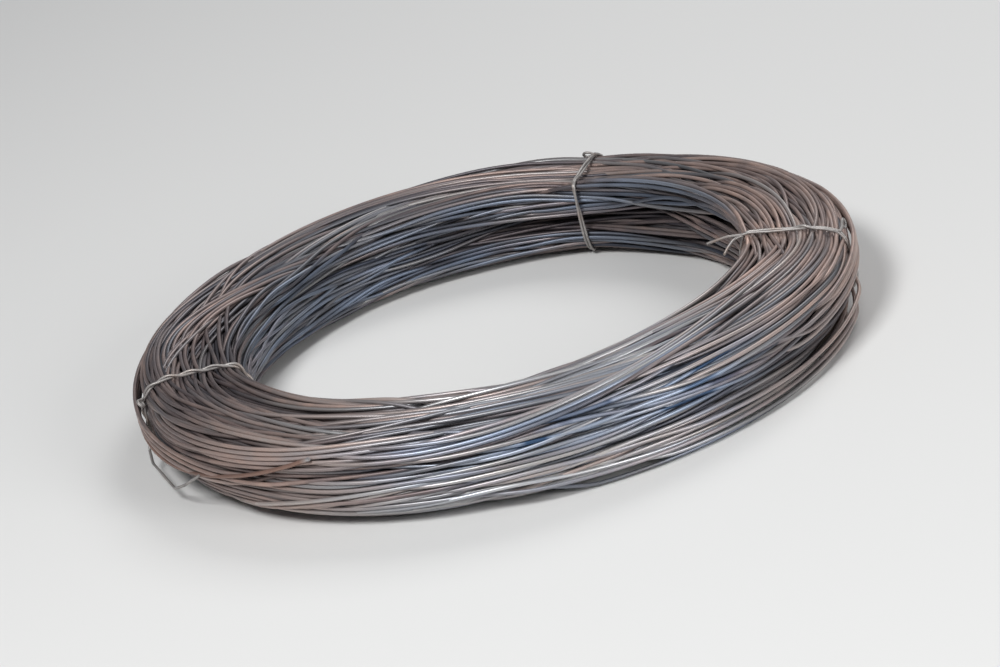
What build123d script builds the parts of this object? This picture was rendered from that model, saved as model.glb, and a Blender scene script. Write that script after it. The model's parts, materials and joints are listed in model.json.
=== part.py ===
from build123d import *
import os
from math import atan2, cos, degrees, pi, radians, sin

# A coil of black annealed steel wire, lying flat, tied in three places with doubled tie wire.
# Millimetres, +Z up. The origin is on the floor, on the axis of the coil.
# -Y is the front, and the three ties stand at the left, at the right and at the back right.
# The coil is turned from one section, whose two ends are drawn in to a waist at each tie.

# The coil
bore_radius = 190.0
radial_width = 90.0
coil_height = 70.0
inner_corner = 16.0
outer_corner = 24.0
inner_corner_steps = 2
outer_corner_steps = 3

# Grooves between the turns that show on both ends
groove_count = 3
groove_depth = 3.0
groove_width = 9.0

# The waist that each tie draws both ends in to: how deep, how far it reaches to each side, and at which
# shares of that reach its sections stand
waist_depth = 5.0
waist_reach_degrees = 18.0
waist_shares = (-1, -0.88, -0.48, 0, 0.48, 0.88, 1)

# The ties: two strands of soft wire side by side, pulled into the turns.
# Each has its azimuth on the coil, its slant off the radial line, and the slope that its knot lies on.
tie_settings = {
    "tie_left": (181.0, -8.0, 36.0),
    "tie_right": (-18.0, -10.0, 52.0),
    "tie_back": (56.0, 4.0, 44.0),
}
tie_diameter = 2.2
tie_sides = 8
strand_pitch = 2.1
tie_clearance = 0.3
tie_below_turns = 0.4
channel_side_clearance = 0.5

# The knot of each tie: a stem that comes up between the turns, and a small eye at its end
stem_bend = 2.0
stem_reach = 8.0
stem_clearance = 0.8
eye_radius = 3.2

# Worked out from the sizes above
mean_radius = bore_radius + radial_width / 2
mid_height = coil_height / 2
tie_radius = tie_diameter / 2
channel_depth = tie_below_turns + tie_diameter + tie_clearance
channel_width = strand_pitch + tie_diameter + 2 * channel_side_clearance
strand_inset = tie_below_turns + tie_radius
flat_start = inner_corner - radial_width / 2
flat_end = radial_width / 2 - outer_corner


def corner_points(centre_x, centre_y, radius, steps, start_angle):
    """Points at equal angles round a quarter turn, from the start angle on."""
    angles = [radians(start_angle + 90 * step / steps) for step in range(steps + 1)]
    return [(centre_x + radius * cos(angle), centre_y + radius * sin(angle)) for angle in angles]


def section_points(inset, drop):
    """The rounded outline of the coil's section, that far inside the turns, its ends drawn in by the drop."""
    bore_y = mid_height - drop - inner_corner
    rim_y = mid_height - drop - outer_corner
    bore_bend = inner_corner - inset
    rim_bend = outer_corner - inset
    return (
        corner_points(flat_end, -rim_y, rim_bend, outer_corner_steps, -90)
        + corner_points(flat_end, rim_y, rim_bend, outer_corner_steps, 0)
        + corner_points(flat_start, bore_y, bore_bend, inner_corner_steps, 90)
        + corner_points(flat_start, -bore_y, bore_bend, inner_corner_steps, 180)
    )


def groove_points(drop):
    """The grooves across the upper end of the section, from the rim side to the bore side."""
    end_height = mid_height - drop
    pitch = (flat_end - flat_start) / groove_count
    middles = [flat_end - (groove + 0.5) * pitch for groove in range(groove_count)]
    return [
        point
        for middle in middles
        for point in (
            (middle + groove_width / 2, end_height),
            (middle, end_height - groove_depth),
            (middle - groove_width / 2, end_height),
        )
    ]


def grooved_section(drop):
    """The coil's section as a face, with the grooves between its turns and its ends drawn in by the drop."""
    outline = section_points(0, drop)
    rim_side = 2 * (outer_corner_steps + 1)
    upper = groove_points(drop)
    lower = [(x, -y) for x, y in reversed(upper)]
    return Polygon(*outline[:rim_side], *upper, *outline[rim_side:], *lower, align=None)


def section_plane(azimuth, slant):
    """The upright plane centred on the section at that azimuth, turned off the radial line by the slant."""
    radial = Vector(cos(radians(azimuth)), sin(radians(azimuth)), 0)
    out = radial.rotate(Axis.Z, slant)
    centre = radial * mean_radius + Vector(0, 0, mid_height)
    return Plane(origin=centre, x_dir=out, z_dir=out.cross(Vector(0, 0, 1)))


# One turned solid: the section is revolved about the bore's axis from waist to waist, with its turns
# grooved into both ends, and each waist is lofted through the drawn-in section at its tie
tie_azimuths = sorted(azimuth % 360 for azimuth, slant, knot_slope in tie_settings.values())
with BuildPart() as wire_coil:
    for azimuth, next_azimuth in zip(tie_azimuths, tie_azimuths[1:] + [tie_azimuths[0] + 360]):
        turned_from = azimuth + waist_reach_degrees
        with BuildSketch(section_plane(turned_from, 0)):
            grooved_section(0)
        revolve(axis=Axis.Z, revolution_arc=next_azimuth - waist_reach_degrees - turned_from)
        for share in waist_shares:
            with BuildSketch(section_plane(azimuth + share * waist_reach_degrees, 0)):
                grooved_section(waist_depth * (1 + cos(pi * share)) / 2)
        loft()
    # Each tie lies in a channel that runs round the whole section at the bottom of its waist
    for azimuth, slant, knot_slope in tie_settings.values():
        with BuildSketch(section_plane(azimuth, slant)):
            Rectangle(radial_width + channel_depth, coil_height + channel_depth)
            Polygon(*section_points(channel_depth, waist_depth), align=None, mode=Mode.SUBTRACT)
        extrude(amount=channel_width / 2, both=True, mode=Mode.SUBTRACT)
wire_coil.part.label = "wire_coil"


def make_tie(name, azimuth, slant, knot_slope):
    """Two closed strands round the section, and the knot's stem and eye on the outer top corner."""
    upright = section_plane(azimuth, slant)
    strand_places = (-strand_pitch / 2, strand_pitch / 2)
    under_middle = (0, strand_inset + waist_depth - mid_height)
    corner_reach = outer_corner - strand_inset
    slope_out = Vector(cos(radians(knot_slope)), sin(radians(knot_slope)), 0)
    corner_centre = Vector(flat_end, mid_height - waist_depth - outer_corner, 0)
    knot_foot = upright.from_local_coords(corner_centre + slope_out * corner_reach)
    # Across the knot: x runs along the turns there, and y stands square to the corner's surface
    turns = section_plane(degrees(atan2(knot_foot.Y, knot_foot.X)), 0)
    along_turns = turns.z_dir * -1
    off_turns = turns.x_dir * slope_out.X + turns.y_dir * slope_out.Y
    knot_plane = Plane(origin=knot_foot, x_dir=along_turns, z_dir=along_turns.cross(off_turns))
    lift = tie_below_turns + stem_clearance + tie_diameter
    with BuildPart() as tie:
        for place in strand_places:
            strand_plane = upright.offset(place)
            with BuildLine(strand_plane) as strand:
                Polyline(under_middle, *section_points(strand_inset, waist_depth), close=True)
            run_start = strand_plane.from_local_coords(under_middle)
            with BuildSketch(Plane(origin=run_start, x_dir=strand_plane.z_dir, z_dir=strand_plane.x_dir)):
                RegularPolygon(tie_radius, tie_sides, major_radius=False, rotation=180 / tie_sides)
            sweep(path=strand.wire(), transition=Transition.RIGHT)
        with BuildLine(knot_plane) as stem:
            FilletPolyline((0, 0), (0, lift), (stem_reach, lift), radius=stem_bend)
        stem_path = stem.wire()
        with BuildSketch(Plane(origin=stem_path @ 0, x_dir=knot_plane.z_dir, z_dir=stem_path % 0)):
            RegularPolygon(tie_radius, tie_sides, major_radius=False, rotation=180 / tie_sides)
        sweep(path=stem_path)
        # The eye lies on the turns, so it is turned about an axis square to the corner's surface
        eye_plane = Plane(
            origin=knot_plane.from_local_coords(Vector(stem_reach + eye_radius, lift, 0)),
            x_dir=knot_plane.x_dir,
            z_dir=knot_plane.z_dir,
        )
        with BuildSketch(eye_plane):
            with Locations((-eye_radius, 0)):
                RegularPolygon(tie_radius, tie_sides, major_radius=False, rotation=180 / tie_sides)
        revolve(axis=Axis(eye_plane.origin, knot_plane.y_dir))
    tie.part.label = name
    return tie.part


ties = [make_tie(name, *settings) for name, settings in tie_settings.items()]

os.makedirs("parts", exist_ok=True)
export_step(wire_coil.part, "parts/wire_coil.step")
for tie in ties:
    export_step(tie, f"parts/{tie.label}.step")
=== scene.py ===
import bpy
import json
import math
import numpy as np
from mathutils import Matrix, Vector


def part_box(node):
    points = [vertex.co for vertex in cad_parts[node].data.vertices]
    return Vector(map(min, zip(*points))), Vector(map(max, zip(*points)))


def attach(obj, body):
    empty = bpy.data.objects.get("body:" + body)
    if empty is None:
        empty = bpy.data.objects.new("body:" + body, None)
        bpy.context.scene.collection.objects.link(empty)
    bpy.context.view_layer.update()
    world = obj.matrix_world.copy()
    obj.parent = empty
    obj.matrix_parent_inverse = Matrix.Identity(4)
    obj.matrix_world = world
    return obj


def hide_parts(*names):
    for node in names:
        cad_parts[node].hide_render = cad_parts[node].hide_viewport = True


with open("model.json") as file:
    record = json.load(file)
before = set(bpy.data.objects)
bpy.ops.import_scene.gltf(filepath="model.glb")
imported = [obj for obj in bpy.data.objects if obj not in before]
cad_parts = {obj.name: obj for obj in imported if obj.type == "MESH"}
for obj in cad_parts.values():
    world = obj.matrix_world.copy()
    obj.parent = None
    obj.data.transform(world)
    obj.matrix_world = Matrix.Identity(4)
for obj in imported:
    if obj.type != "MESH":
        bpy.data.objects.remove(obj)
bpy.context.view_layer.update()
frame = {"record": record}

# The coiled wire: one length of soft steel wire, drawn, annealed black in a pot furnace and dropped turn
# on turn over a stem. Neighbouring turns lie in ribbons that wander across the coil and over each other,
# and the ties draw them all in, so that they fan out on both sides of a tie.
coil_low, coil_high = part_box("wire_coil")
bore_mount = next(mount for mount in frame["record"]["mounts"] if mount["name"] == "bore")
bore_radius = bore_mount["dims"]["r_mm"] / 1000
rim_radius = (coil_high[0] - coil_low[0]) / 2
coil_height = coil_high[2] - coil_low[2]
wire_radius = 0.0016
wire_sides = 6
turn_count = 340
row_count = 17
steps_per_turn = 216
bore_corner = 0.016
rim_corner = 0.024
# Where the ties and the wire's cut end stand. An azimuth that is given as a number is in degrees.
tie_azimuths = {"tie_left": 181, "tie_right": -18, "tie_back": 56}
end_azimuth = 229.5

middle_radius = (bore_radius + rim_radius) / 2
middle_height = coil_height / 2
half_width = (rim_radius - bore_radius) / 2
dice = np.random.default_rng(11)

# How the ties gather the turns: how far inside the coil's full section, how much lower at both ends, and
# over what length to each side
gathered_inset = 0.0026
gathered_drop = 0.0028
gathered_length = 0.05

# How uneven the turns are between the ties: the least inset, and its waves by their number round the
# coil, their start and their size
least_inset = 0.0003
inset_waves = ((3, 0.7, 0.0006), (7, 0.0, 0.0003))

# A length too short to divide by
least_length = 1e-9


def angle_apart(angle, other):
    """The angle between two directions, always from 0 to pi."""
    return np.abs((angle - other + np.pi) % (2 * np.pi) - np.pi)


def near(angle, middle, width):
    """1 at the middle, falling to nothing a few widths away. Middle and width are in degrees."""
    return np.exp(-((angle_apart(angle, math.radians(middle)) / math.radians(width)) ** 2))


def gathered(azimuth):
    """1 at a tie and nothing between the ties."""
    apart = [angle_apart(azimuth, math.radians(tie)) for tie in tie_azimuths.values()]
    along = np.min(apart, axis=0) * middle_radius
    return np.exp(-((along / gathered_length) ** 2))


def bundle_inset(azimuth):
    """How far inside the coil's full section the bundle's skin lies at each azimuth."""
    uneven = least_inset
    for number, start, size in inset_waves:
        uneven = uneven + size * (1 + np.sin(number * azimuth + start))
    return uneven + (gathered_inset - uneven) * gathered(azimuth)


def beyond_skin(places, inset, rim_draw, end_draw):
    """How far each section place lies beyond the bundle's skin, and which way is out there. The rim and both
    ends may be drawn further in than the rest."""
    across, up = places[..., 0], places[..., 1]
    outer_half = half_width - rim_draw
    corner = np.where(across > 0, rim_corner, bore_corner)
    over_x = np.where(across > 0, across - outer_half, -across - half_width) + corner
    over_y = np.abs(up) - (middle_height - end_draw - corner)
    reach_x, reach_y = np.maximum(over_x, 0), np.maximum(over_y, 0)
    reach = np.hypot(reach_x, reach_y)
    in_corner = reach > 0
    depth = np.where(in_corner, reach, np.maximum(over_x, over_y)) - corner
    flat_x = (over_x > over_y).astype(float)
    safe = np.maximum(reach, least_length)
    away_x = np.where(in_corner, reach_x / safe, flat_x) * np.sign(across)
    away_y = np.where(in_corner, reach_y / safe, 1 - flat_x) * np.sign(up)
    return depth + inset + wire_radius, np.stack([away_x, away_y], axis=-1)


def push_inside(places, skin):
    """Moves section places that stick out of the bundle's skin back to it."""
    beyond, away = beyond_skin(places, *skin)
    places -= away * np.maximum(beyond, 0)[..., None]


# The turns start in rows that crowd towards a squarish skin: the power that squares it, the share of the
# section left hollow, the least share that a place may have, and the share of the section that is filled
squaring_power = 4
hollow_share = 0.5
least_share = 0.02
filled_share = 0.94


def lay_rows(count):
    """Section places in rows from the bottom up, back and forth across the width, one for each turn. They
    crowd towards the bundle's skin, where they show."""
    row = np.arange(count) * row_count // count
    within = (np.arange(count) * row_count / count) % 1
    across = np.where(row % 2 == 0, within, 1 - within)
    up = (row + within) / row_count
    shares = np.stack([across, up], axis=1) * 2 - 1
    reach = (shares ** squaring_power).sum(axis=1, keepdims=True) ** (1 / squaring_power)
    reach = np.maximum(reach, least_share)
    crowded = np.sqrt(hollow_share ** 2 + (1 - hollow_share ** 2) * reach ** 2)
    return shares * (crowded / reach) * np.array([half_width, middle_height]) * filled_share


def eased(part):
    """Runs from 0 to 1 with a soft start and end."""
    part = np.clip(part, 0, 1)
    return part * part * (3 - 2 * part)


fewest_in_ribbon = 3
most_in_ribbon = 8


def cut_ribbons(count):
    """The turn numbers at which each ribbon of neighbouring turns starts."""
    sizes = dice.integers(fewest_in_ribbon, most_in_ribbon + 1, size=count // fewest_in_ribbon)
    starts = np.concatenate([[0], np.cumsum(sizes)])
    return starts[starts < count]


def ribbon_wander(ribbon_starts, chain_turns, chain_azimuths, wave_sizes):
    """Low waves round the coil, the same for all turns of a ribbon, which change over to the next
    ribbon's waves along its last turn."""
    waves = dice.normal(size=(len(ribbon_starts), len(wave_sizes), 2)) * np.array(wave_sizes)[None, :, None]
    ribbon = np.searchsorted(ribbon_starts, chain_turns, side="right") - 1
    following = np.minimum(ribbon + 1, len(ribbon_starts) - 1)
    change = eased(chain_turns - (ribbon_starts[following] - 1))[:, None]
    wander = np.zeros(len(chain_turns))
    for order in range(len(wave_sizes)):
        sizes = waves[ribbon, order] * (1 - change) + waves[following, order] * change
        angle = (order + 1) * chain_azimuths
        wander += sizes[:, 0] * np.cos(angle) + sizes[:, 1] * np.sin(angle)
    return wander


def drift_along(chain_azimuths, channels, keep):
    """Smooth random values along the whole wire, one column for each channel, about 0 with a spread of 1.
    Keep is the share of one station's value that the next one takes over."""
    spacing = math.radians(27)
    place = (chain_azimuths - chain_azimuths[0]) / spacing
    fresh = dice.normal(size=(int(place[-1]) + 2, channels))
    values = fresh.copy()
    for index in range(1, len(values)):
        values[index] = keep * values[index - 1] + math.sqrt(1 - keep * keep) * fresh[index]
    station = place.astype(int)
    ease = eased(place - station)[:, None]
    return values[station] * (1 - ease) + values[station + 1] * ease


def share_below(values):
    """Turns values with a spread of 1 about 0 into even shares from 0 to 1."""
    bell_slope = 0.8
    return 0.5 * (1 + np.tanh(bell_slope * values))


def near_pairs(places, reach):
    """Pairs of turns that lie close together, step by step round the coil."""
    found = []
    for step in range(places.shape[1]):
        column = places[:, step]
        gap = column[:, None, :] - column[None, :, :]
        close = np.argwhere(np.triu((gap ** 2).sum(axis=2) < reach * reach, 1))
        found.append(np.column_stack([close, np.full(len(close), step)]))
    return np.concatenate(found)


def soften(line, softness):
    """Moves each point inside a line towards the middle of its neighbours, by that softness."""
    line[1:-1] += softness * (line[:-2] - 2 * line[1:-1] + line[2:])


# How the turns settle. The list of near pairs is made anew every few rounds, with all turns that lie within
# so many wire widths of each other. Turns that overlap give way by a share of the overlap, and the wire is
# softer in the early rounds than in the late ones.
settle_rounds = 110
early_rounds = 88
rounds_per_list = 8
listed_reach = 2.2
push_share = 0.42
early_softness = 0.22
late_softness = 0.1
smoothing_rounds = 14
smoothing_softness = 0.2


def settle(places, skin, held, held_places):
    """Pushes turns that overlap apart and keeps each wire smooth, so that the turns lie beside each other.
    A held stretch keeps to its own place, and the other turns make way for it."""
    count, steps = places.shape[:2]
    touching = 2 * wire_radius
    for settle_round in range(settle_rounds):
        if settle_round % rounds_per_list == 0:
            pairs = near_pairs(places, touching * listed_reach)
            first = pairs[:, 0] * steps + pairs[:, 2]
            second = pairs[:, 1] * steps + pairs[:, 2]
        flat = places.reshape(-1, 2)
        gap = flat[first] - flat[second]
        distance = np.maximum(np.hypot(gap[:, 0], gap[:, 1]), least_length)
        push = np.maximum(touching - distance, 0) * push_share
        move = gap * (push / distance)[:, None]
        for axis in range(2):
            flat[:, axis] += np.bincount(first, move[:, axis], len(flat))
            flat[:, axis] -= np.bincount(second, move[:, axis], len(flat))
        soften(flat, early_softness if settle_round < early_rounds else late_softness)
        places = flat.reshape(count, steps, 2)
        push_inside(places, skin)
        places += held * (held_places - places)
    flat = places.reshape(-1, 2)
    for _ in range(smoothing_rounds):
        soften(flat, smoothing_softness)
    places = flat.reshape(count, steps, 2)
    push_inside(places, skin)
    places += held * (held_places - places)
    return places


# The wire as one chain of points, with the turn and the azimuth of each
point_count = turn_count * steps_per_turn
chain_turns = np.arange(point_count) / steps_per_turn
chain_azimuths = math.radians(end_azimuth) + 2 * np.pi * (chain_turns - turn_count + 1 / steps_per_turn)
row_turns = np.arange(turn_count + 1)
rows = lay_rows(len(row_turns))
laid = np.stack([np.interp(chain_turns, row_turns, rows[:, axis]) for axis in range(2)], axis=1)

# How far a ribbon wanders across and up, by waves from one to five round the coil, and how far a turn
# drifts from its ribbon
across_waves = (0.011, 0.010, 0.008, 0.005, 0.003)
up_waves = (0.004, 0.003, 0.0022, 0.0016, 0.001)
own_drift = (0.0026, 0.0016)
chain = (cut_ribbons(turn_count), chain_turns, chain_azimuths)
laid[:, 0] += ribbon_wander(*chain, across_waves)
laid[:, 1] += ribbon_wander(*chain, up_waves)
laid += drift_along(chain_azimuths, 2, keep=0.7) * np.array(own_drift)

# How deep a turn may stay under the skin: by its ribbon and by itself, crowded towards the skin, and less
# deep where a tie tightens the turns
layer_depth = 0.009
depth_waves = (0.5, 0.5, 0.5, 0.4, 0.3)
ribbon_weight = 0.9
own_weight = 0.35
skin_crowding = 1.7
tie_tightening = 0.45
ribbon_depth = ribbon_wander(*chain, depth_waves)
own_depth = drift_along(chain_azimuths, 1, keep=0.7)[:, 0]
depth_share = share_below(ribbon_weight * ribbon_depth + own_weight * own_depth) ** skin_crowding
depth_share *= 1 - tie_tightening * gathered(chain_azimuths)
skin_depths = bundle_inset(chain_azimuths) + depth_share * layer_depth

# The rim is drawn further in at the ties, most where turns pass outside one: how far, and how wide in degrees
rim_draws = {"tie_right": (0.0036, 22), "tie_left": (0.0046, 20), "tie_back": (0.0022, 14)}
rim_draw = np.zeros(point_count)
for name, (depth, width) in rim_draws.items():
    rim_draw += depth * near(chain_azimuths, tie_azimuths[name], width)

# The ties draw both ends in, and the lowest turns lie a little clear of the floor at the left
floor_gap = 0.006
floor_draw = floor_gap * near(chain_azimuths, 187, 50) * (laid[:, 1] < 0)
end_draw = gathered_drop * gathered(chain_azimuths) + floor_draw

# Stretches of single turns that are guided: how firmly each point is held and where, and how steeply the
# hold sets in from both ends of a stretch
held = np.zeros(point_count)
held_places = np.zeros((point_count, 2))
hold_easing = 3


def hold_stretch(turn, middle, half_length, across, up):
    """Guides one turn along places of its own, given across and up at the stretch's start, middle and end.
    The middle and the half length are in degrees."""
    target = math.radians(end_azimuth) + 2 * np.pi * (turn - turn_count)
    offset = (math.radians(middle) - target + np.pi) % (2 * np.pi) - np.pi
    part = (chain_azimuths - target - offset) / math.radians(half_length)
    inside = np.abs(part) <= 1
    held[inside] = eased((1 - np.abs(part[inside])) * hold_easing)
    for axis, (start, centre, finish) in enumerate((across, up)):
        lean, bow = (finish - start) / 2, (finish + start) / 2 - centre
        held_places[inside, axis] = centre + lean * part[inside] + bow * part[inside] ** 2


# Loose turns on the floor along the lower front edge
hold_stretch(19, 300, 42, (0.0340, 0.0385, 0.0300), (-0.0320, -0.0333, -0.0320))
hold_stretch(20, 308, 36, (0.0370, 0.0425, 0.0390), (-0.0280, -0.0300, -0.0240))
hold_stretch(21, 295, 48, (0.0400, 0.0432, 0.0420), (-0.0200, -0.0248, -0.0200))
hold_stretch(60, 312, 34, (0.0425, 0.0434, 0.0434), (-0.0120, -0.0180, -0.0120))
# Turns of the rim that pass outside the right tie
hold_stretch(259, -22, 34, (0.0425, 0.0434, 0.0425), (-0.0040, 0.0005, 0.0030))
hold_stretch(260, -14, 38, (0.0430, 0.0434, 0.0425), (0.0000, 0.0042, 0.0080))
hold_stretch(299, -20, 40, (0.0430, 0.0434, 0.0420), (0.0070, 0.0078, 0.0090))
hold_stretch(300, -12, 36, (0.0430, 0.0433, 0.0410), (0.0090, 0.0114, 0.0150))
hold_stretch(301, -18, 32, (0.0425, 0.0428, 0.0400), (0.0120, 0.0149, 0.0190))
# Turns of the rim that pass outside the left tie
hold_stretch(179, 180, 40, (0.0420, 0.0434, 0.0430), (0.0090, 0.0000, -0.0050))
hold_stretch(219, 183, 42, (0.0420, 0.0434, 0.0430), (0.0130, 0.0050, -0.0015))
hold_stretch(220, 180, 38, (0.0410, 0.0433, 0.0425), (0.0190, 0.0105, 0.0030))
# Slack turns that stand off the bore's edge at the back right
hold_stretch(319, 24, 40, (-0.0390, -0.0422, -0.0400), (0.0300, 0.0325, 0.0310))
hold_stretch(320, 34, 34, (-0.0400, -0.0434, -0.0410), (0.0260, 0.0290, 0.0270))
hold_stretch(321, 16, 38, (-0.0360, -0.0385, -0.0360), (0.0310, 0.0334, 0.0320))


end_easing = math.radians(25)
end_curve_degree = 4


def hold_end(stations, across, up):
    """Guides the wire's last stretch through places at those azimuths, in degrees, out to its cut end."""
    stations = np.radians(stations)
    inside = chain_azimuths >= stations[0]
    held[inside] = eased((chain_azimuths[inside] - stations[0]) / end_easing)
    for axis, values in enumerate((across, up)):
        curve = np.polynomial.Polynomial.fit(stations, values, end_curve_degree)
        held_places[inside, axis] = curve(chain_azimuths[inside])


# The cut end lies over the other turns, from the rim's face up to its top corner
end_stations = (140, 165, 185, 204, 212, 220, end_azimuth)
end_across = (0.0430, 0.0434, 0.0434, 0.0434, 0.0434, 0.0434, 0.0413)
end_up = (0.0060, 0.0000, -0.0050, -0.0045, 0.0015, 0.0105, 0.0215)
hold_end(end_stations, end_across, end_up)

shape = (turn_count, steps_per_turn)
laid = settle(
    laid.reshape(*shape, 2),
    [limit.reshape(shape) for limit in (skin_depths, rim_draw, end_draw)],
    held.reshape(*shape, 1),
    held_places.reshape(*shape, 2),
).reshape(-1, 2)
below_skin = -beyond_skin(laid, bundle_inset(chain_azimuths), rim_draw, end_draw)[0]
wire_radii = middle_radius + laid[:, 0]
wire_heights = middle_height + laid[:, 1]
wire_line = np.stack(
    [wire_radii * np.cos(chain_azimuths), wire_radii * np.sin(chain_azimuths), wire_heights], axis=1
)


def wire_tree():
    """Sweeps a round section along the laid wire's line."""
    tree = bpy.data.node_groups.new("wire along its line", "GeometryNodeTree")
    tree.interface.new_socket("Line", in_out="INPUT", socket_type="NodeSocketGeometry")
    tree.interface.new_socket("Wire Radius", in_out="INPUT", socket_type="NodeSocketFloat")
    tree.interface.new_socket("Sides", in_out="INPUT", socket_type="NodeSocketInt")
    tree.interface.new_socket("Material", in_out="INPUT", socket_type="NodeSocketMaterial")
    tree.interface.new_socket("Wire", in_out="OUTPUT", socket_type="NodeSocketGeometry")
    enter = tree.nodes.new("NodeGroupInput")
    leave = tree.nodes.new("NodeGroupOutput")
    to_curve = tree.nodes.new("GeometryNodeMeshToCurve")
    profile = tree.nodes.new("GeometryNodeCurvePrimitiveCircle")
    tube = tree.nodes.new("GeometryNodeCurveToMesh")
    smooth = tree.nodes.new("GeometryNodeSetShadeSmooth")
    realize = tree.nodes.new("GeometryNodeRealizeInstances")
    finish = tree.nodes.new("GeometryNodeSetMaterial")
    tube.inputs["Fill Caps"].default_value = True
    link = tree.links.new
    link(enter.outputs["Line"], to_curve.inputs["Mesh"])
    link(to_curve.outputs["Curve"], tube.inputs["Curve"])
    link(enter.outputs["Wire Radius"], profile.inputs["Radius"])
    link(enter.outputs["Sides"], profile.inputs["Resolution"])
    link(profile.outputs["Curve"], tube.inputs["Profile Curve"])
    link(tube.outputs["Mesh"], smooth.inputs["Geometry"])
    link(smooth.outputs["Geometry"], realize.inputs["Geometry"])
    link(realize.outputs["Geometry"], finish.inputs["Geometry"])
    link(enter.outputs["Material"], finish.inputs["Material"])
    link(finish.outputs["Geometry"], leave.inputs["Wire"])
    return tree


def sweep_wire(name, tree, line, radius, sides, material, marks):
    """One length of wire as a piece: its line's points and their marks go in, and a plain mesh comes out."""
    mesh = bpy.data.meshes.new(name + "_line")
    numbers = np.arange(len(line))
    edges = np.column_stack([numbers[:-1], numbers[1:]])
    mesh.from_pydata(line.tolist(), edges.tolist(), [])
    for mark, values in marks.items():
        layer = mesh.attributes.new(mark, "FLOAT", "POINT")
        layer.data.foreach_set("value", np.asarray(values, np.float32))
    carrier = bpy.data.objects.new(name + "_line", mesh)
    bpy.context.collection.objects.link(carrier)
    modifier = carrier.modifiers.new("wire", "NODES")
    modifier.node_group = tree
    settings = {"Wire Radius": radius, "Sides": sides, "Material": material}
    for item in tree.interface.items_tree:
        if item.in_out == "INPUT" and item.name in settings:
            modifier[item.identifier] = settings[item.name]
    bpy.context.view_layer.update()
    graph = bpy.context.evaluated_depsgraph_get()
    swept = bpy.data.meshes.new_from_object(carrier.evaluated_get(graph), depsgraph=graph)
    swept.name = name
    bpy.data.objects.remove(carrier)
    piece = bpy.data.objects.new(name, swept)
    bpy.context.collection.objects.link(piece)
    return piece


class Finish:
    """A material under construction: its nodes, its links and its shader."""

    def __init__(self, name):
        self.material = bpy.data.materials.new(name)
        self.material.use_nodes = True
        self.nodes = self.material.node_tree.nodes
        self.link = self.material.node_tree.links.new
        self.shader = self.nodes["Principled BSDF"]

    def mark(self, name):
        """A value that each point of the wire carries."""
        node = self.nodes.new("ShaderNodeAttribute")
        node.attribute_name = name
        return node.outputs["Fac"]

    def noise(self, vector, scale, detail):
        """Soft noise from 0 to 1."""
        node = self.nodes.new("ShaderNodeTexNoise")
        node.inputs["Scale"].default_value = scale
        node.inputs["Detail"].default_value = detail
        self.link(vector, node.inputs["Vector"])
        return node.outputs["Fac"]

    def spread(self, value, low, high, to_low=0.0, to_high=1.0):
        """Maps a value from one range to another and holds it there."""
        node = self.nodes.new("ShaderNodeMapRange")
        limits = {"From Min": low, "From Max": high, "To Min": to_low, "To Max": to_high}
        for socket, limit in limits.items():
            node.inputs[socket].default_value = limit
        self.link(value, node.inputs["Value"])
        return node.outputs["Result"]

    def times(self, first, second):
        """The product of two values."""
        node = self.nodes.new("ShaderNodeMath")
        node.operation = "MULTIPLY"
        self.link(first, node.inputs[0])
        self.link(second, node.inputs[1])
        return node.outputs["Value"]

    def ramp(self, value, low_colour, high_colour):
        """Runs from one colour to the other as the value goes from 0 to 1."""
        node = self.nodes.new("ShaderNodeValToRGB")
        node.color_ramp.elements[0].color = (*low_colour, 1)
        node.color_ramp.elements[1].color = (*high_colour, 1)
        self.link(value, node.inputs["Fac"])
        return node.outputs["Color"]

    def coat(self, under, colour, share):
        """Lays a colour over what is under it, by that share."""
        node = self.nodes.new("ShaderNodeMix")
        node.data_type = "RGBA"
        self.link(share, node.inputs["Factor"])
        self.link(under, node.inputs["A"])
        node.inputs["B"].default_value = (*colour, 1)
        return node.outputs["Result"]


# The colours of the finish, from the first coat to the last
black_scale = (0.052, 0.055, 0.072)
grey_scale = (0.48, 0.48, 0.50)
# Rubbed steel, which is also the colour of the painted highlights
rubbed_steel_and_highlight = (0.77, 0.745, 0.715)
pale_blue = (0.34, 0.42, 0.56)
deep_blue = (0.05, 0.10, 0.19)
tan_rust = (0.51, 0.355, 0.295)
red_rust = (0.21, 0.115, 0.085)
# A dark colour for painted shade
painted_shade_colour = (0.024, 0.027, 0.040)


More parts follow.
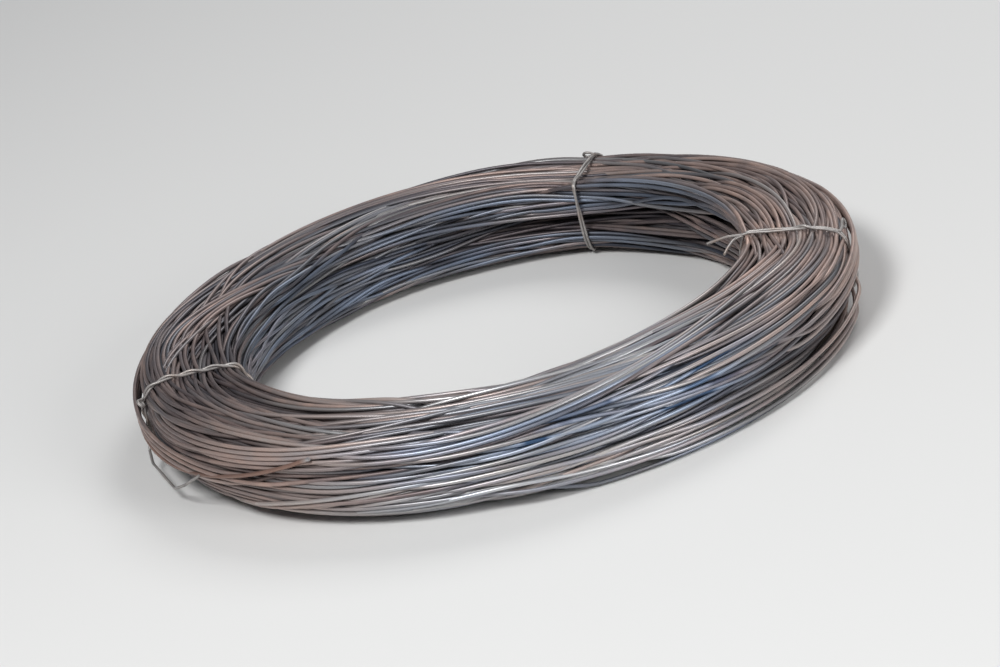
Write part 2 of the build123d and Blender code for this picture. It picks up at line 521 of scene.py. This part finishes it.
def annealed_finish():
    """Oxide scale over soft steel: grey, rubbed bright in stretches with painted highlights laid over them,
    tempered blue in others, with thin tan rust where the wire has stood in the air. The grey is painted
    lighter on the front, where the light falls. Painted shade darkens the turns that lie deeper, the left
    side and the bore's back wall. Each turn carries its own marks, and the mottling runs along it."""
    finish = Finish("annealed wire")
    along = finish.nodes.new("ShaderNodeCombineXYZ")
    finish.link(finish.mark("along"), along.inputs["X"])
    finish.link(finish.mark("lane"), along.inputs["Y"])
    place = along.outputs["Vector"]
    patches = finish.spread(finish.noise(place, scale=8, detail=2), low=0.36, high=0.58)
    blotches = finish.spread(finish.noise(place, scale=30, detail=4), low=0.3, high=0.7, to_low=0.45)
    rubs = finish.spread(finish.noise(place, scale=3, detail=1), low=0.3, high=0.75)
    blue_share = finish.times(finish.mark("blue"), patches)
    deep_share = finish.spread(blue_share, low=0.86, high=0.99)
    rust_share = finish.times(finish.mark("rust"), blotches)
    bare_and_highlight_share = finish.times(finish.mark("bare_and_highlight"), rubs)
    # The tone is painted lighter on the front, where the light falls, on top of its own random tone
    colour = finish.ramp(finish.mark("tone_and_front_light"), black_scale, grey_scale)
    # Rubbed steel and painted highlights
    colour = finish.coat(colour, rubbed_steel_and_highlight, bare_and_highlight_share)
    colour = finish.coat(colour, pale_blue, blue_share)
    colour = finish.coat(colour, deep_blue, deep_share)
    colour = finish.coat(colour, tan_rust, rust_share)
    colour = finish.coat(colour, red_rust, finish.mark("red"))
    # Painted shade over the turns that lie deep and where the coil falls into shade
    colour = finish.coat(colour, painted_shade_colour, finish.mark("painted_shade"))
    metallic = finish.spread(rust_share, low=0, high=1, to_low=0.70, to_high=0.25)
    roughness = finish.spread(bare_and_highlight_share, low=0, high=1, to_low=0.44, to_high=0.33)
    finish.link(colour, finish.shader.inputs["Base Color"])
    finish.link(metallic, finish.shader.inputs["Metallic"])
    finish.link(roughness, finish.shader.inputs["Roughness"])
    return finish.material


def round_coil(*zones):
    """The sum of zones round the coil, each with its strength, and its middle and width in degrees."""
    return sum(strength * near(chain_azimuths, middle, width) for strength, middle, width in zones)


# Parts of the coil that the marks below share, by the azimuth and by the angle round the section
bore_wall_start = -0.036
bore_wall_easing = 0.006
round_section = np.arctan2(laid[:, 1], laid[:, 0])
front = round_coil((1, 260, 46))
top_corner = near(round_section, 21, 26)
lower_rim = near(round_section, -16, 16) * round_coil((1, 286, 26))
bore_edge = near(round_section, 132, 26) * round_coil((1, 285, 40))
bore_wall = eased((bore_wall_start - laid[:, 0]) / bore_wall_easing)

# Every mark is a sum of such parts, each with its strength, and drifts a little along the wire
tone_drift, rust_drift, bare_and_highlight_drift, blue_drift = drift_along(chain_azimuths, 4, keep=0.8).T
# Each turn's tone differs at random, and is painted lighter on the front, where the light falls
tone_and_front_light = share_below(tone_drift) * (0.4 + 0.5 * front)

# Tan rust lies on both sides of the left and right ties, and thinly at the back
rust = round_coil((1.15, 210, 31), (1.05, -14, 36), (0.62, 62, 46), (0.5, 156, 28))
rust += 0.4 * lower_rim + 0.4 * bore_edge - 0.5 * bore_wall + 0.3 * rust_drift - 0.12

# Bright bare steel and painted highlights on the front, most along the lower turns at its right
bare_and_highlight = 0.72 * front + round_coil((0.4, 223, 14), (-0.5, 160, 24)) + 0.8 * lower_rim + 0.5 * bare_and_highlight_drift + 0.12
bare_and_highlight -= 0.45 * near(round_section, 0, 20) * round_coil((1, 252, 14))

# Temper blue lies on the front's top corner, and dull on the wall of the bore
blue = round_coil((0.8, 260, 24), (0.95, 289, 12)) * (0.25 + 0.75 * top_corner) * (1 + 0.4 * blue_drift)
blue += bore_wall * round_coil((0.8, 90, 80))

# Painted shade, darkest on the turns that lie deep, and also laid at the left, in a band at the front right
# and on the wall of the bore at the back
darkest_depth = 0.012
painted_shade = below_skin / darkest_depth + round_coil((0.46, 189, 25), (0.14, 66, 40))
painted_shade += near(round_section, 75, 40) * round_coil((0.3, 301, 9)) + bore_wall * round_coil((0.3, 85, 75))

# The loose end is red with rust, and its last bit is bright from the cut
loose_start = math.radians(165)
loose_easing = math.radians(30)
cut_length = math.radians(1.5)
loose_end = eased((chain_azimuths - loose_start) / loose_easing)
cut_end = eased((chain_azimuths - chain_azimuths[-1]) / cut_length + 1)

# Lanes keep the mottling of neighbouring turns apart
lane_width = 1.7
marks = {
    "tone_and_front_light": tone_and_front_light,
    "rust": np.clip(rust - cut_end, 0, 0.92),
    "bare_and_highlight": np.clip(bare_and_highlight + cut_end, 0, 1),
    "blue": np.clip(blue, 0, 1),
    "red": np.clip(loose_end - cut_end, 0, 0.85),
    "painted_shade": np.clip(painted_shade, 0, 0.72),
    "along": chain_azimuths * middle_radius,
    "lane": chain_turns * lane_width,
}

# The coil goes out as five pieces, so that none holds too many triangles
line_tree = wire_tree()
annealed = annealed_finish()
piece_count = 5
turns_in_piece = turn_count // piece_count
for number in range(piece_count):
    first = number * turns_in_piece * steps_per_turn
    last = min(first + turns_in_piece * steps_per_turn + 1, point_count)
    turns = sweep_wire(
        f"coil_turns_{number + 1}",
        line_tree,
        wire_line[first:last],
        wire_radius,
        wire_sides,
        annealed,
        {mark: values[first:last] for mark, values in marks.items()},
    )
    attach(turns, "root")
    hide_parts("wire_coil")

# The ties: each is one piece of thin annealed binding wire, wound twice round the turns. A small eye is
# twisted into it at the rim's top corner to pull it tight, and its two cut ends stick out as tails.
tie_radius = 0.0011
tie_sides = 8
point_spacing = 0.0012
fewest_points = 4
rounding_rounds = 5
rounding_softness = 0.25


def even_steps(line):
    """The same line with its points at even steps, rounded a little as soft wire is."""
    lengths = np.concatenate([[0], np.cumsum(np.linalg.norm(np.diff(line, axis=0), axis=1))])
    steps = np.linspace(0, lengths[-1], max(int(lengths[-1] / point_spacing), fewest_points))
    fresh = np.stack([np.interp(steps, lengths, line[:, axis]) for axis in range(line.shape[1])], axis=1)
    for _ in range(rounding_rounds):
        soften(fresh, rounding_softness)
    return fresh


# Only turns within this share of the coil's half width count as crossing a tie's plane on its own side
crossing_reach = 1.05


def turn_crossings(centre, out, along):
    """Where the turns pass through a tie's plane, as places across and up from the section's centre."""
    side = (wire_line - centre) @ along
    crosses = np.flatnonzero(side[:-1] * side[1:] <= 0)
    share = side[crosses] / (side[crosses] - side[crosses + 1])
    points = wire_line[crosses] + (wire_line[crosses + 1] - wire_line[crosses]) * share[:, None]
    places = np.stack([(points - centre) @ out, points[:, 2] - centre[2]], axis=1)
    return places[np.abs(places[:, 0]) < half_width * crossing_reach]


pull_directions = 361


def pulled_round(places, stand_off):
    """The closed line of a wire pulled tight round those places, and the way out at each of its points."""
    angles = np.linspace(0, 2 * np.pi, pull_directions)
    towards = np.stack([np.cos(angles), np.sin(angles)], axis=1)
    furthest = places[np.argmax(places @ towards.T, axis=0)]
    ring = even_steps(furthest + towards * stand_off)[:-1]
    ahead = np.roll(ring, -1, axis=0) - np.roll(ring, 1, axis=0)
    outward = np.stack([ahead[:, 1], -ahead[:, 0]], axis=1)
    return ring, outward / np.linalg.norm(outward, axis=1, keepdims=True)


def facing(outward, slope):
    """The number of the ring's point whose way out has that slope, in degrees."""
    towards = [math.cos(math.radians(slope)), math.sin(math.radians(slope))]
    return int(np.argmax(outward @ towards))


def tail_places(stations):
    """Places given by azimuth in degrees, radius and height."""
    azimuths, radii, heights = np.array(stations).T
    azimuths = np.radians(azimuths)
    return np.stack([radii * np.cos(azimuths), radii * np.sin(azimuths), heights], axis=1)


# The stem's rise off the turns, its run along them and its twists, and the eye's radius, its stretch along
# the turns and the angle that it leaves open for the two strands
stem_rise = 0.003
stem_run = 0.006
stem_twists = 2
stem_points = 28
stem_slack = 1.03
eye_radius = 0.0034
eye_stretch = 1.3
eye_points = 26
eye_opening = 0.35


def twist_eye(foot, off, aslant, along, tilt):
    """Two strands twisted up a bent stem, with a small eye at its end that is tilted up off the turns."""
    part = np.linspace(0, 1, stem_points)[:, None]
    stem = foot + off * stem_rise * (2 * part - part * part) + along * stem_run * part * part
    heading = off * stem_rise * (1 - part) + along * stem_run * part
    heading /= np.linalg.norm(heading, axis=1, keepdims=True)
    turn = (2 * np.pi * stem_twists + tilt) * part
    apart = aslant * np.cos(turn) + np.cross(heading, aslant) * np.sin(turn)
    round_stem = apart * tie_radius * stem_slack
    wide = aslant * math.cos(tilt) + off * math.sin(tilt)
    swing = np.linspace(eye_opening, 2 * np.pi - eye_opening, eye_points)[:, None]
    middle = stem[-1] + along * eye_radius * eye_stretch
    eye = middle + eye_radius * (np.sin(swing) * wide - np.cos(swing) * along * eye_stretch)
    return np.concatenate([stem + round_stem, eye, (stem - round_stem)[::-1]])


# Where the two strands cross over in each round, and where they stand slack apart, as shares of the round
# with their lengths
crossing_share = 0.18
crossing_length = 0.07
slack_share = 0.08
slack_length = 0.05
strand_slack = 1.04


def wind_tie(azimuth, slant, outside_limit, eye_slope, eye_tilt, tail_slope, whole_twists, slack, tails):
    """The whole line of one tie: a tail, twice round the turns with the eye in the first round, and a tail.
    Turns further out than the outside limit, from the section's middle, pass outside it."""
    place, turned = math.radians(azimuth), math.radians(azimuth + slant)
    centre = np.array([middle_radius * math.cos(place), middle_radius * math.sin(place), middle_height])
    out, up = np.array([math.cos(turned), math.sin(turned), 0]), np.array([0, 0, 1.0])
    along = np.cross(up, out)
    places = turn_crossings(centre, out, along)
    ring, outward = pulled_round(places[places[:, 0] < outside_limit], wire_radius + tie_radius)
    start = facing(outward, tail_slope)
    station = np.arange(2 * len(ring) + 1)
    share = station / len(ring)
    crossing = np.floor(share) + eased((share % 1 - crossing_share) / crossing_length + 0.5)
    phase = np.pi * (2 * whole_twists * share + crossing)
    eye_station = (start - facing(outward, eye_slope)) % len(ring)
    phase -= phase[eye_station]
    slack_here = slack * np.exp(-(((share % 1 - slack_share) / slack_length) ** 2))
    apart = tie_radius * strand_slack + slack_here
    lift = 2 * tie_radius * np.maximum(np.sin(phase), 0)
    round_ring = (start - station) % len(ring)
    flat = ring[round_ring] + outward[round_ring] * lift[:, None]
    line = centre + flat[:, :1] * out + flat[:, 1:] * up + along * (apart * np.cos(phase))[:, None]
    across, rise = outward[facing(outward, eye_slope)]
    off, aslant = across * out + rise * up, across * up - rise * out
    eye = twist_eye(line[eye_station], off, aslant, along, math.radians(eye_tilt))
    first_tail, second_tail = (tail_places(stations) for stations in tails)
    parts = [first_tail, line[:eye_station], eye, line[eye_station + 1 :], second_tail]
    return even_steps(np.concatenate(parts))


dull_scale = (0.16, 0.15, 0.145)
worn_scale = (0.52, 0.49, 0.47)
brown_rust = (0.26, 0.15, 0.09)
tie_metallic = 0.5
tie_roughness = 0.42


def tie_finish():
    """Thin black annealed binding wire, duller than the coil, worn in places and rusted brown in others."""
    finish = Finish("tie wire")
    place = finish.nodes.new("ShaderNodeTexCoord").outputs["Object"]
    colour = finish.ramp(finish.noise(place, scale=90, detail=3), dull_scale, worn_scale)
    spots = finish.spread(finish.noise(place, scale=45, detail=4), low=0.55, high=0.7, to_high=0.6)
    colour = finish.coat(colour, brown_rust, spots)
    finish.link(colour, finish.shader.inputs["Base Color"])
    finish.shader.inputs["Metallic"].default_value = tie_metallic
    finish.shader.inputs["Roughness"].default_value = tie_roughness
    return finish.material


# The settings of each tie. Tails are given by azimuth, radius and height, the first one from its cut end
# and the second one out to it.
tie_lines = {
    "tie_left": wind_tie(
        azimuth=tie_azimuths["tie_left"],
        slant=-8,
        outside_limit=0.0395,
        eye_slope=24,
        eye_tilt=65,
        tail_slope=-8,
        whole_twists=7,
        slack=0.0,
        tails=(
            [
                (206.0, 0.2810, 0.0330),
                (201.0, 0.2820, 0.0200),
                (196.5, 0.2815, 0.0110),
                (185.0, 0.2797, 0.0125),
                (181.5, 0.2780, 0.0160),
            ],
            [(178.5, 0.2765, 0.0200), (177.0, 0.2775, 0.0180)],
        ),
    ),
    "tie_right": wind_tie(
        azimuth=tie_azimuths["tie_right"],
        slant=-10,
        outside_limit=0.0395,
        eye_slope=50,
        eye_tilt=35,
        tail_slope=132,
        whole_twists=0,
        slack=0.0010,
        tails=(
            [(-18.6, 0.1700, 0.0655), (-17.3, 0.1850, 0.0668)],
            [(-17.6, 0.1900, 0.0640), (-21.0, 0.1860, 0.0628), (-24.0, 0.1840, 0.0615)],
        ),
    ),
    "tie_back": wind_tie(
        azimuth=tie_azimuths["tie_back"],
        slant=4,
        outside_limit=1.0,
        eye_slope=45,
        eye_tilt=12,
        tail_slope=-5,
        whole_twists=2,
        slack=0.0003,
        tails=(
            [(53.6, 0.2784, 0.0260), (54.6, 0.2780, 0.0300)],
            [(58.2, 0.2780, 0.0290), (59.4, 0.2784, 0.0330)],
        ),
    ),
}
dark_tie = tie_finish()
for name, line in tie_lines.items():
    tie = sweep_wire(name + "_wire", line_tree, line, tie_radius, tie_sides, dark_tie, {})
    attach(tie, "root")
    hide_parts(name)

# The stage: a plain pale floor under the coil, the camera at the photograph's viewing angle, and three
# soft lamps in a dim, pale world. None of it is part of the coil.
floor_half = 12.0
floor_colour = (0.72, 0.72, 0.71, 1)
floor_roughness = 0.8
floor_mesh = bpy.data.meshes.new("floor")
corners = [(x * floor_half, y * floor_half, 0) for x, y in ((-1, -1), (1, -1), (1, 1), (-1, 1))]
floor_mesh.from_pydata(corners, [], [(0, 1, 2, 3)])
floor = bpy.data.objects.new("floor", floor_mesh)
bpy.context.collection.objects.link(floor)
floor_finish = Finish("floor")
floor_finish.shader.inputs["Base Color"].default_value = floor_colour
floor_finish.shader.inputs["Roughness"].default_value = floor_roughness
floor_mesh.materials.append(floor_finish.material)

view_azimuth = math.radians(-98)
view_elevation = math.radians(21.1)
view_roll = math.radians(13.75)
camera_distance = 2.7
camera_data = bpy.data.cameras.new("camera")
camera_data.lens = 128.2
camera_data.sensor_width = 36
camera_data.shift_x = 0.005
camera_data.shift_y = -0.014
camera = bpy.data.objects.new("camera", camera_data)
bpy.context.collection.objects.link(camera)
level = math.cos(view_elevation)
away = Vector((level * math.cos(view_azimuth), level * math.sin(view_azimuth), math.sin(view_elevation)))
turned = away.to_track_quat("Z", "Y").to_matrix() @ Matrix.Rotation(-view_roll, 3, "Z")
stand = Vector((0, 0, middle_height)) + away * camera_distance
camera.matrix_world = Matrix.Translation(stand) @ turned.to_4x4()
bpy.context.scene.camera = camera

# Each lamp's name, place, size and watts
lamps = (
    ("key", (-1.44, -1.62, 2.6), 1.0, 84),
    ("fill", (1.65, -2.55, 1.2), 1.2, 40),
    ("back", (1.55, 1.70, 2.3), 1.6, 37),
)
for name, place, size, watts in lamps:
    lamp_data = bpy.data.lights.new(name, "AREA")
    lamp_data.energy = watts
    lamp_data.size = size
    lamp = bpy.data.objects.new(name, lamp_data)
    bpy.context.collection.objects.link(lamp)
    lamp.location = place
    lamp.rotation_euler = Vector(place).to_track_quat("Z", "Y").to_euler()

world_colour = (0.9, 0.93, 1.0, 1)
world_strength = 0.15
world = bpy.data.worlds.new("studio")
bpy.context.scene.world = world
world.use_nodes = True
background = world.node_tree.nodes["Background"]
background.inputs["Color"].default_value = world_colour
background.inputs["Strength"].default_value = world_strength
bpy.context.scene.view_settings.view_transform = "Standard"
